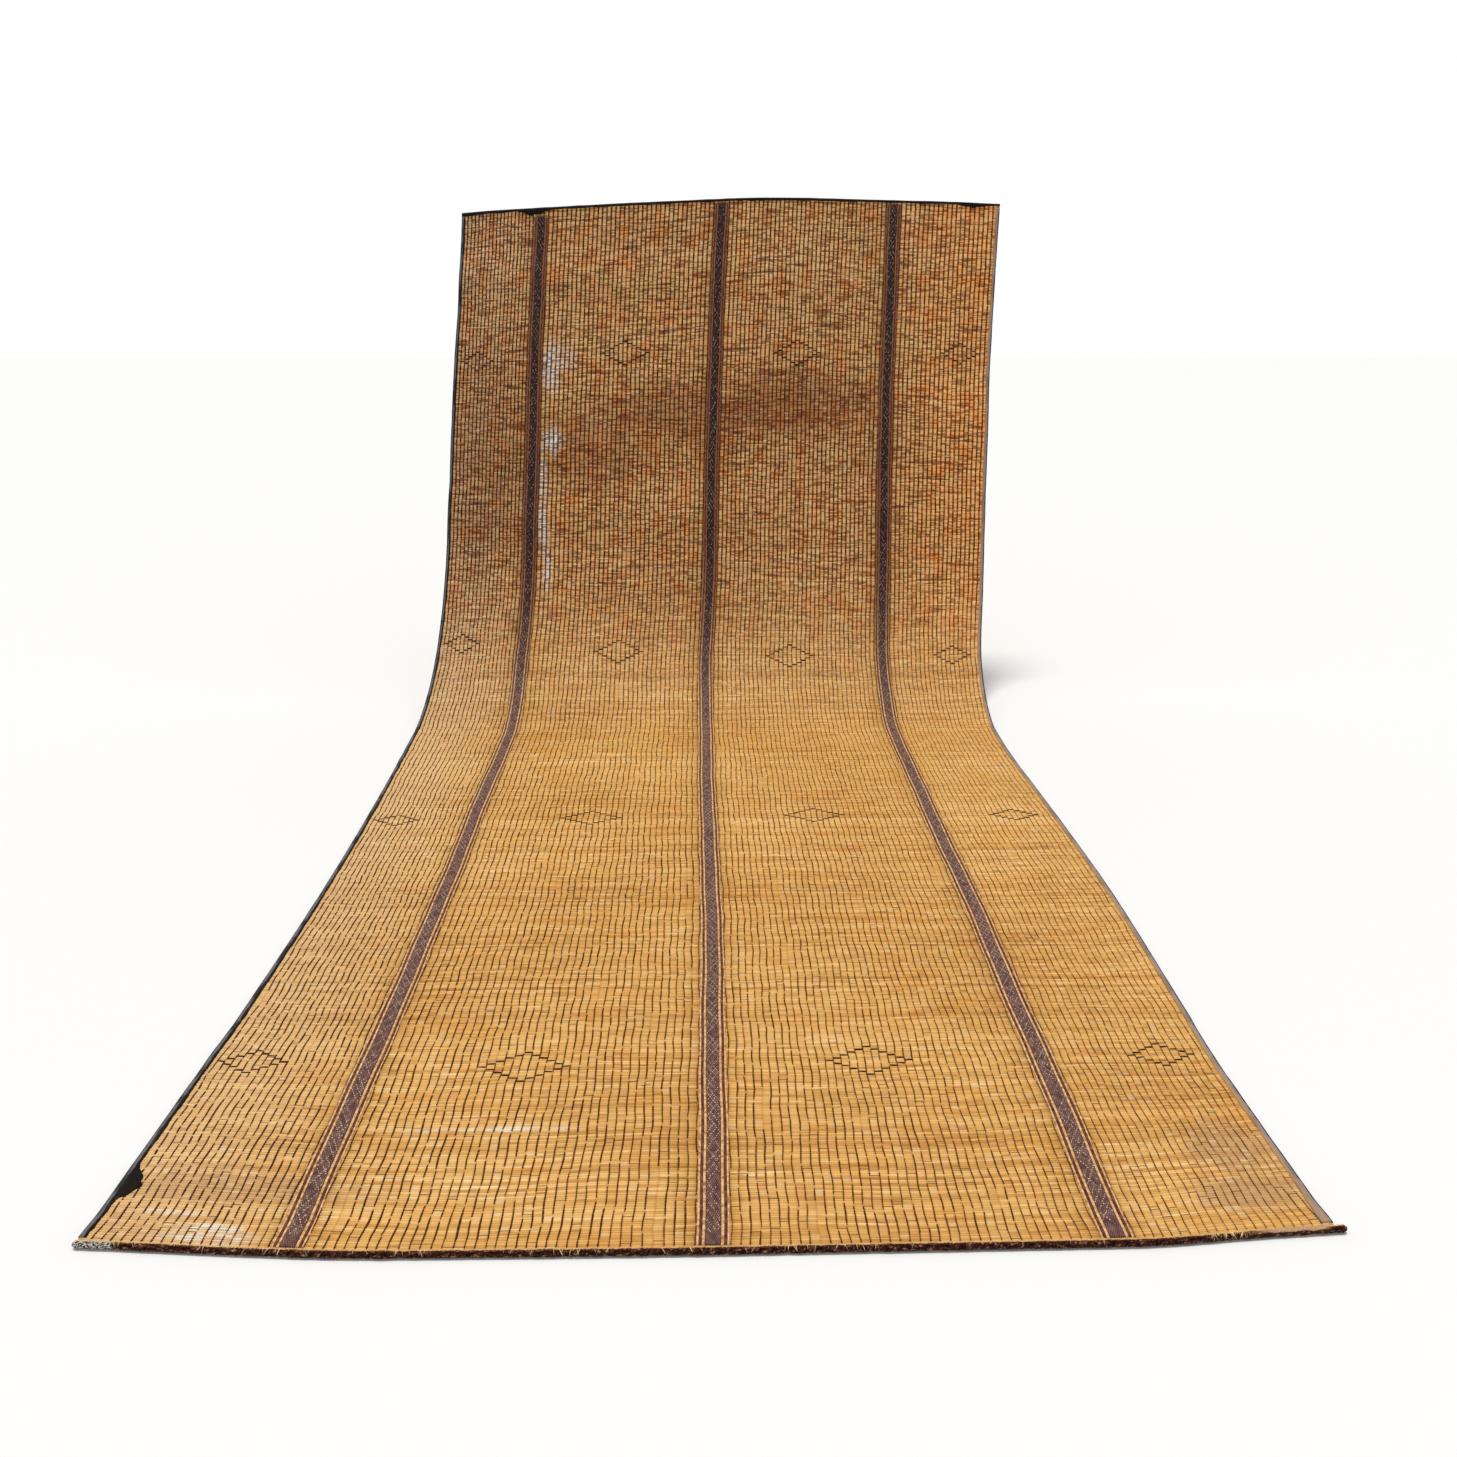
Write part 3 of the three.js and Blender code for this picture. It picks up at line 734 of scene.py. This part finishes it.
# Bands. Three broad bands are woven along the mat: a finely plaited purple-brown leather ribbon,
# sewn over with pale criss-cross stitches, between two pairs of pale cords with a red-brown thong.
band_names = ("left", "middle", "right")
band_end_gaps = (0.036, 0.016, 0.016)
band_start = 0.014
ribbon_half = 0.0146
ribbon_top = 0.0059
ribbon_crown = 0.00088
ribbon_foot, cord_foot = 0.0036, 0.0031
ribbon_lump = (0.0122, 0.021)
half_cords = np.array([
    # across from the band's middle, lift
    (0.0305, 0.0036), (0.0280, 0.0050), (0.0255, 0.0040),
    (0.0200, 0.0038), (0.0176, 0.0052), (0.0150, 0.0040),
])
cord_places = np.r_[-half_cords[:, 0], half_cords[::-1, 0]]
cord_lifts = np.r_[half_cords[:, 1], half_cords[::-1, 1]]
cord_bump = 0.0003
stripe_middles = (-0.0224, 0.0230)
stripe_offsets = 0.0031 * np.array([-1, -0.55, 0.55, 1])
stripe_lifts = np.array([0.0040, 0.0056, 0.0056, 0.0040])
stitch_shape = [
    # forwards, sideways, lift from the ribbon: two tips, then the corners around the middle
    (-0.0030, 0.0, -0.0001), (0.0030, 0.0, -0.0001),
    (0.0, -0.0012, 0.0), (0.0, 0.0, 0.0007), (0.0, 0.0012, 0.0), (0.0, 0.0, -0.0005),
]

band_leather, shader = new_material("plaited band leather", 0.15)
place, flat_across, flat_along = flat_map(shader)
plies = [
    node("TexWave", {
        "Vector": stretched(place, turns, 130), "Scale": 0.5, "Distortion": 1.2, "Detail": 1,
    }, bands_direction="DIAGONAL").outputs["Fac"]
    for turns in (300.0, -300.0)
]
plait = reckon("MAXIMUM", *plies)
band_fade = streaky(place, 90, 45, 4)
band_shade = times(band_fade, 0.65, times(plait, 0.35))
leather = colours(band_shade, [
    (0.24, (0.022, 0.008, 0.007)),
    (0.44, (0.075, 0.028, 0.025)),
    (0.60, (0.140, 0.064, 0.056)),
    (0.80, (0.300, 0.180, 0.140)),
])
leather = tinted(between(flat_along, hung_from, hung_to), leather, (0.26, 0.21, 0.24))
coat(shader, leather, times(band_fade, 0.35, 0.35), plait, 0.0008)


def faded(name, specular, across, along, stops, roughness, hung_tint=(1, 1, 1)):
    """A material whose colour and bump follow drawn-out noise, and which is tinted where the mat hangs."""
    material, shader = new_material(name, specular)
    place, _, flat_along = flat_map(shader)
    fade = streaky(place, across, along, 3)
    hung = between(flat_along, hung_from, hung_to)
    coat(shader, tinted(hung, colours(fade, stops), hung_tint), roughness, fade, 0.0006)
    return material


def toned(name, specular, stops, roughness):
    """A material whose colour follows the tone of each slip."""
    material, shader = new_material(name, specular)
    feed(shader, {"Base Color": colours(attribute(shader, "tone"), stops), "Roughness": roughness})
    return material


stripe_leather = faded("red-brown stripe leather", 0.15, 120.0, 70.0, [
    (0.30, (0.045, 0.010, 0.008)),
    (0.50, (0.120, 0.034, 0.026)),
    (0.72, (0.250, 0.105, 0.070)),
], 0.55)
cord_straw = faded("pale cords", 0.3, 90.0, 110.0, [
    (0.32, (0.36, 0.15, 0.045)),
    (0.50, (0.68, 0.38, 0.140)),
    (0.72, (0.86, 0.60, 0.330)),
], 0.6, (0.40, 0.28, 0.25))
stitch_thong = toned("pale stitches", 0.3, [
    (0.0, (0.24, 0.12, 0.09)),
    (0.3, (0.66, 0.46, 0.29)),
    (1.0, (0.94, 0.80, 0.62)),
], 0.65)


def band_wander(middle, along):
    """How far a band strays from its straight run: the sum of two sines along the mat."""
    return 0.0012 * np.sin(2 * np.pi * (along / 0.83 + middle)) + 0.0006 * np.sin(2 * np.pi * along / 0.29)


def carried(middle, along, offsets, lifts):
    """The rings and flat places of a closed profile carried along the mat: each point keeps its distance from
    the band's middle and its lift."""
    across = middle + band_wander(middle, along)[:, None] + offsets
    spread = along[:, None] + 0 * across
    return hang(across, spread, lifts + raised(across, spread)), np.stack([across, spread], -1)


def make_strips(name, strips, material):
    """Puts one or more carried profiles into the scene as one piece."""
    points, faces = closed_runs(np.stack([rings for rings, _ in strips]))
    flat = np.stack([flat for _, flat in strips]).reshape(-1, 2)
    return make_piece(name, points, faces, material, flat)


def criss_cross(length):
    """Stitch places on one ribbon: two pairs of mirrored zigzags, each a triangle wave of 98 mm, the second
    pair shifted and broken off in many of its strokes. Returns across, along and slope of each stitch."""
    wave, reach, spacing, margin = 0.098, 0.0128, 0.0062, 0.035
    places = []
    for start, stroke_share in ((0.0, 0.93), (0.023, 0.55)):
        for side in (-1, 1):
            along = np.arange(band_start + margin, length, spacing)
            phase = ((along - margin + start) / wave) % 1
            across = side * reach * (4 * np.abs(phase - 0.5) - 1)
            slope = side * reach * 4 / wave * np.where(phase < 0.5, -1, 1)
            stroke = np.floor((along - margin + start) / (wave / 2)).astype(int)
            kept = rng.random(stroke.max() + 1) < stroke_share
            keep = kept[stroke] & (rng.random(len(along)) < 0.92)
            places.append(np.stack([across, along, slope], -1)[keep])
    places = np.concatenate(places)
    places = places[rng.random(len(places)) > 0.2 * smooth(hung_from, hung_to, places[:, 1])]
    places[:, :2] += rng.normal(0, 0.0005, (len(places), 2))
    return places


rng = np.random.default_rng(23)
for middle, name, end_gap in zip(band_middles, band_names, band_end_gaps):
    band_end = mat_length - end_gap
    along = np.linspace(band_start, band_end, 1012)
    offsets = np.linspace(-ribbon_half, ribbon_half, 11)
    crown = ribbon_top - ribbon_crown * (offsets / ribbon_half) ** 2
    lumps = [
        np.sin(2 * np.pi * (offsets / ribbon_lump[0] + side * along[:, None] / ribbon_lump[1]))
        for side in (1, -1)
    ]
    foot = np.full((len(along), 2), ribbon_foot)
    lifts = np.concatenate([crown + 0.00022 * lumps[0] * lumps[1], foot], axis=1)
    profile = np.r_[offsets, ribbon_half - 0.0004, 0.0004 - ribbon_half]
    strips = [carried(middle, along, profile, lifts)]
    ribbon = make_strips(f"band_{name}_ribbon", strips, band_leather)
    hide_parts(f"band_{name}")

    along = np.linspace(band_start, band_end, 700)
    bumps = cord_bump * np.sin(2 * np.pi * along / 0.0147)[:, None] * (cord_lifts > 0.0045)
    lifts = np.concatenate([cord_lifts + bumps, np.full((len(along), 2), cord_foot)], axis=1)
    strips = [carried(middle, along, np.r_[cord_places, 0.0300, -0.0300], lifts)]
    make_strips(f"band_{name}_cords", strips, cord_straw)

    lifts = stripe_lifts + 0.0002 * np.sin(2 * np.pi * along / 0.0231)[:, None]
    strips = [carried(middle + stripe, along, stripe_offsets, lifts) for stripe in stripe_middles]
    make_strips(f"band_{name}_stripes", strips, stripe_leather)

    place, along, slope = criss_cross(band_end - 0.004).T[..., None]
    across = middle + band_wander(middle, along) + place
    ahead, aside = np.cos(np.arctan(slope)), np.sin(np.arctan(slope))
    corners = []
    for forwards, sideways, lift in stitch_shape:
        a = across + forwards * aside + sideways * ahead
        b = along + forwards * ahead - sideways * aside
        corners.append(hang(a, b, ribbon_top + lift + raised(a, b)))
    corners = np.concatenate(corners, axis=1)
    points, faces = closed_runs(corners[:, None, 2:], corners[:, :2])
    tone = rng.random(len(along)) - 0.45 * smooth(hung_from, hung_to, along[:, 0])
    tones = {"tone": np.r_[np.repeat(tone, 4), np.repeat(tone, 2)]}
    make_piece(f"band_{name}_stitches", points, faces, stitch_thong, None, tones)

# Diamonds. Four rows of four small stepped diamonds are worked in dark thong: each short crosswise
# turn spans one space between two lengthwise thongs, a step higher than its neighbour.
diamond_rows = [
    # each diamond's middle, across and along, from the left
    [(-1.000, 0.574), (-0.398, 0.555), (0.346, 0.567), (0.999, 0.572)],
    [(-0.996, 1.889), (-0.364, 1.900), (0.348, 1.913), (1.002, 1.907)],
    [(-0.999, 3.218), (-0.353, 3.180), (0.362, 3.157), (1.024, 3.159)],
    [(-0.981, 4.429), (-0.366, 4.455), (0.356, 4.449), (1.042, 4.450)],
]
diamond_steps = (4, 5, 5, 4)
step_long = 0.0102
turn_half = 0.0098
turn_thick = 0.0031
turn_rise, turn_sunk = 0.0017, 0.0008
turn_shares = np.array([-1, -0.8, 0, 0.8, 1])
turn_girth = np.array([0.3, 0.9, 1.0, 0.9, 0.3])
turn_lift = np.array([-0.3, 0.8, 1.0, 0.8, -0.3])
rng = np.random.default_rng(37)
for row, middles in enumerate(diamond_rows, 1):
    places = []
    for span, ((middle, middle_along), steps) in enumerate(zip(middles, diamond_steps)):
        first, pitch = thong_run(span, middle_along)
        space = np.floor((middle - first) / pitch) + 0.5
        for k in range(-steps, steps + 1):
            for side in (-1, 1) if abs(k) < steps else (1,):
                rise = side * (steps - abs(k)) * step_long
                places.append((first + (space + k) * pitch, middle_along + rise))
    places = np.array(places) + rng.normal(0, 0.0006, (len(places), 2))
    across = places[:, :1] + turn_half * rng.uniform(0.9, 1.08, (len(places), 1)) * turn_shares
    along = places[:, 1:] + rng.normal(0, 0.0007, (len(places), 1)) * turn_shares
    across = across + thong_drift(across, along)
    thick = turn_thick * rng.uniform(0.8, 1.2, (len(places), 1)) * turn_girth
    lie = reed_thickness + raised(across, along)
    crest = hang(across, along, lie + turn_rise * turn_lift)
    feet = [hang(across, along + side * thick, lie - turn_sunk) for side in (-1, 1)]
    tone = rng.beta(2, 5, len(places)) * 0.6
    flat = np.stack([across, along], -1)
    turns = make_slips(f"diamonds_row{row}", feet, crest, tone, thong_leather, flat)
    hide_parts(*[f"diamond_row{row}_col{column}" for column in range(1, 5)])

# Bindings. The sides and the far end are bound in black leather folded over the reeds. The left
# one's grey sheen is a painted highlight along its ridge, and the right one is worn pale between
# its black and tan edges, with a painted sheen over the pale.
binding_profile = np.array([
    # inwards from the reeds' ends, lift from the floor
    (0.0120, 0.0002),
    (0.0020, 0.0000),
    (-0.0014, 0.0006),
    (-0.0022, 0.0030),
    (-0.0018, 0.0062),
    (0.0004, 0.0084),
    (0.0034, 0.0091),
    (0.0062, 0.0087),
    (0.0082, 0.0078),
    (0.0108, 0.0079),
    (0.0128, 0.0073),
    (0.0132, 0.0052),
])
lip_points = binding_profile[:, 0] > 0.0100
upper_points = binding_profile[:, 1] > 0.0045
# Each patch: the place of its middle along the edge, its reach to both sides, its width.
corner_patch = (0.166, 0.064, 0.027)
right_patch = (0.000, 0.170, 0.006)
far_patches = [(-0.775, 0.080, 0.020), (1.062, 0.085, 0.010), (-1.080, 0.160, 0.009)]
far_lip_cut = 0.0065
binding_start, binding_stop, far_overhang = 0.016, 0.0155, 0.0018


def hump(value, middle, reach):
    """A smooth hump: half of one plus the cosine of the distance, over the reach."""
    return 0.5 + 0.5 * np.cos(np.pi * np.minimum(np.abs(value - middle) / reach, 1))


def ragged(count, steps, size):
    """A column of uneven numbers along an edge: random ones at every few places, joined by straight lines."""
    knots = np.arange(0, count + steps, steps)
    return np.interp(np.arange(count), knots, rng.normal(0, size, len(knots)))[:, None]


def binding_leather(name, outer, ridge_wear_and_sheen, inner, patch, ridge_from, rubbed):
    """Leather whose colour runs over its width: outer line, ridge, inner line, and the patch where the
    lip is wider. The ridge's colour is a painted sheen, on the right binding over pale worn leather.
    Worn places get the outer colour, and scuffs get the ridge's, as painted glints."""
    material, shader = new_material(name, 0.08)
    place, across, _ = flat_map(shader)
    scuff_and_glint = streaky(place, 300, 45, 4)
    worn = streaky(place, 30, 9, 3)
    width = reckon("ADD", across, times(reckon("SUBTRACT", scuff_and_glint, 0.5), 0.006))
    colour = mixed(between(width, ridge_from, ridge_from + 0.0012), outer, ridge_wear_and_sheen)
    colour = mixed(between(width, 0.0066, 0.0086), colour, inner)
    colour = mixed(times(between(worn, 0.48, 0.60), rubbed), colour, outer)
    colour = mixed(times(between(scuff_and_glint, 0.58, 0.72), 0.4), colour, ridge_wear_and_sheen)
    colour = mixed(between(across, 0.0145, 0.0165), colour, patch)
    coat(shader, colour, times(scuff_and_glint, 0.4, 0.30), scuff_and_glint, 0.0010)
    return material


black = (0.009, 0.006, 0.005)
grey_mauve = (0.30, 0.24, 0.22)
# The ridge colours are painted sheen: grey on the left one, and grey-mauve over pale worn leather on the
# right one.
left_leather = binding_leather(
    "black leather with painted sheen", (0.014, 0.010, 0.010), (0.15, 0.145, 0.15), black, black, 0.0012, 0.85)
right_leather = binding_leather(
    "grey worn leather with painted sheen", (0.022, 0.015, 0.014), grey_mauve, (0.42, 0.25, 0.13), grey_mauve, 0.0022, 0.3)
far_leather = binding_leather("black end leather", black, (0.020, 0.015, 0.015), black, black, 0.0, 0.5)


def binding(name, node_name, path, patches, finish, edge=None, inward=1, lip_cut=0.0):
    """A binding: its profile carried along a side's edge, which gives across by along, or across the far end,
    with an uneven width, and a wider inner lip at each patch."""
    path = path[:, None]
    count = len(path)
    reach_in, lift = binding_profile.T
    inwards = reach_in - lip_cut * (reach_in / 0.013) ** 2 * upper_points
    inwards = inwards + (ragged(count, 4, 0.0008) + ragged(count, 1, 0.0004)) * lip_points
    inwards = inwards + ragged(count, 9, 0.0003) * (reach_in < 0)
    lifts = lift + ragged(count, 5, 0.00025) * upper_points
    for middle, reach, width in patches:
        torn = 1 + ragged(count, 2, 0.16)
        inwards = inwards + width * hump(path, middle, reach) * torn * (lip_points & upper_points)
    spread = path + 0 * inwards
    if edge is None:
        across, along = spread, mat_length - inwards
    else:
        across, along = edge(spread) + inward * inwards, spread
    lifts = lifts + roll_rise * (1 - smooth(*roll_run, along))
    points, faces = closed_runs(hang(across, along, lifts)[None])
    flat = np.stack([inwards, spread], -1).reshape(-1, 2)
    piece = make_piece(name, points, faces, finish, flat)
    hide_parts(node_name)


rng = np.random.default_rng(41)
side_path = np.linspace(binding_start, mat_length - binding_stop, 760)
far_path = np.linspace(left_edge(mat_length) - far_overhang, right_edge(mat_length) + far_overhang, 420)
binding("binding_left", "edge_left", side_path, [corner_patch], left_leather, left_edge, 1)
binding("binding_right", "edge_right", side_path, [right_patch], right_leather, right_edge, -1)
binding("binding_far", "end_far_binding", far_path, far_patches, far_leather, lip_cut=far_lip_cut)

# Near roll. The near end is bound in a thick roll of dark leather thong, wound over and over the
# last reeds, with bits of pale reed caught between the turns. The right end is worn tan.
roll_turn = 0.0072
roll_middle = (0.0035, 0.0074)
roll_radius = (0.0074, 0.0072)
roll_around = 18
roll_leather, shader = new_material("wound roll leather", 0.05)
place, flat_across, round_share = flat_map(shader)
slanting = combined(times(round_share, 0.02, flat_across), round_share)
roll_cloud = streaky(slanting, 75, 7, 5)
roll_strand = streaky(slanting, 260, 12, 2)
roll_shade = times(roll_strand, 0.45, times(roll_cloud, 0.55))
leather = colours(roll_shade, [
    (0.40, (0.008, 0.001, 0.001)),
    (0.50, (0.034, 0.008, 0.004)),
    (0.57, (0.105, 0.036, 0.020)),
    (0.66, (0.420, 0.230, 0.120)),
])
straw = mixed(roll_strand, (0.40, 0.19, 0.06), (0.92, 0.62, 0.28))
roll_top = between(times(roll_cloud, 0.18, round_share), 0.37, 0.29)
leather = mixed(roll_top, leather, straw)
roll_foot = times(between(round_share, 0.55, 0.60), between(roll_cloud, 0.52, 0.56))
leather = mixed(roll_foot, leather, (0.34, 0.24, 0.08))
grey_end = between(times(roll_cloud, 0.08, flat_across), -1.000, -1.030)
grey_end = times(grey_end, between(roll_strand, 0.46, 0.54))
leather = mixed(grey_end, leather, (0.52, 0.49, 0.44))
tan_end = times(between(flat_across, 0.960, 1.030), between(flat_across, 1.125, 1.108))
tan_side = between(times(roll_cloud, 0.2, round_share), 0.50, 0.44)
tan = mixed(roll_strand, (0.16, 0.06, 0.03), (0.80, 0.52, 0.30))
leather = mixed(times(tan_end, tan_side), leather, tan)
coat(shader, leather, 0.55, roll_cloud, 0.0012)

rng = np.random.default_rng(53)
roll_left_end, roll_right_end = left_edge(0) - roll_past_left, right_edge(0) + roll_past_right
roll_count = int((roll_right_end - roll_left_end) / roll_turn * 4) + 1
roll_path = np.linspace(roll_left_end, roll_right_end, roll_count)
angle = 2 * np.pi * np.arange(roll_around) / roll_around
turn_phase = roll_path[:, None] / roll_turn + 0.9 * angle / (2 * np.pi)
turn_dip = np.abs(np.sin(np.pi * turn_phase))
wound = 1 - smooth(0.965, 0.985, roll_path) * (1 - smooth(1.100, 1.118, roll_path))
girth = 0.90 + 0.10 * turn_dip * wound[:, None] + 0.06 * (1 - wound[:, None])
girth = girth * (1 + ragged(roll_count, 11, 0.035) + ragged(roll_count, 3, 0.02))
taper = smooth(0, 0.006, roll_path - roll_left_end) * smooth(0, 0.006, roll_right_end - roll_path)
girth = girth * (0.55 + 0.45 * taper[:, None])
roll_along = roll_middle[0] + roll_radius[0] * girth * np.cos(angle)
roll_lift = np.maximum(roll_middle[1] + roll_radius[1] * girth * np.sin(angle), 0.0002)
across = roll_path[:, None] + 0 * roll_along
points, faces = closed_runs(hang(across, roll_along, roll_lift)[None])
flat = np.stack([across, np.broadcast_to(angle / (2 * np.pi), across.shape)], -1).reshape(-1, 2)
roll = make_piece("near_roll", points, faces, roll_leather, flat)
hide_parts("end_near_roll")

# Loose reeds. Dry slips of pale reed have split off and lie crosswise on the weave, and others
# stand out between the turns of the near roll, where they were caught in the winding.
slip_straw = toned("pale split reed", 0.35, [
    (0.0, (0.60, 0.34, 0.11)),
    (0.5, (0.78, 0.50, 0.20)),
    (1.0, (0.92, 0.74, 0.44)),
], 0.5)

rng = np.random.default_rng(67)
slip_count = 160
slip_sunk = 0.0004
slip_shares = np.array([-1, -0.6, 0, 0.6, 1])
slip_girth = np.array([0.2, 0.85, 1, 0.85, 0.2])
across = rng.uniform(-1.06, 1.09, (slip_count, 1))
along = rng.uniform(0.05, 5.0, (slip_count, 1))
reach = rng.uniform(0.008, 0.032, (slip_count, 1)) * slip_shares
turn = rng.normal(0, 0.10, (slip_count, 1))
girth = rng.uniform(0.0006, 0.0011, (slip_count, 1)) * slip_girth
arch = rng.uniform(0.0, 0.0012, (slip_count, 1)) * (1 - slip_shares**2)
lift = reed_thickness - slip_sunk + raised(across, along) + arch
across, along = across + reach * np.cos(turn), along + reach * np.sin(turn)
feet = [hang(across, along + side * girth, lift) for side in (-1, 1)]
crest = hang(across, along, lift + girth)
make_slips("loose_slips", feet, crest, rng.random(slip_count), slip_straw)

loop_spans = [
    # from, to, how many
    (-1.08, 0.96, 84),
    (-0.27, -0.20, 10),
    (0.90, 0.97, 36),
]
loop_from = 0.12
loop_girth = np.array([0.3, 0.8, 1, 1, 1, 0.8, 0.3])
loop_places = np.concatenate([rng.uniform(*loop_span) for loop_span in loop_spans])[:, None]
loop_count = len(loop_places)
loop_turns = np.linspace(loop_from, loop_from + rng.uniform(0.16, 0.42, loop_count), 7, axis=1)
across = loop_places + rng.uniform(-0.009, 0.009, (loop_count, 1)) * (loop_turns - loop_from) / 0.3
half = rng.uniform(0.0006, 0.0012, (loop_count, 1)) * loop_girth


def on_roll(across, rise):
    """A place on the roll's round at the loops' turns: the roll's middle, plus its radius and a rise."""
    angle = 2 * np.pi * loop_turns
    along = roll_middle[0] + (roll_radius[0] + rise) * np.cos(angle)
    return hang(across, along, np.maximum(roll_middle[1] + (roll_radius[1] + rise) * np.sin(angle), 0.0003))


feet = [on_roll(across + side * half, -0.0010) for side in (-1, 1)]
make_slips("roll_loops", feet, on_roll(across, 0.0004), rng.random(loop_count), slip_straw)
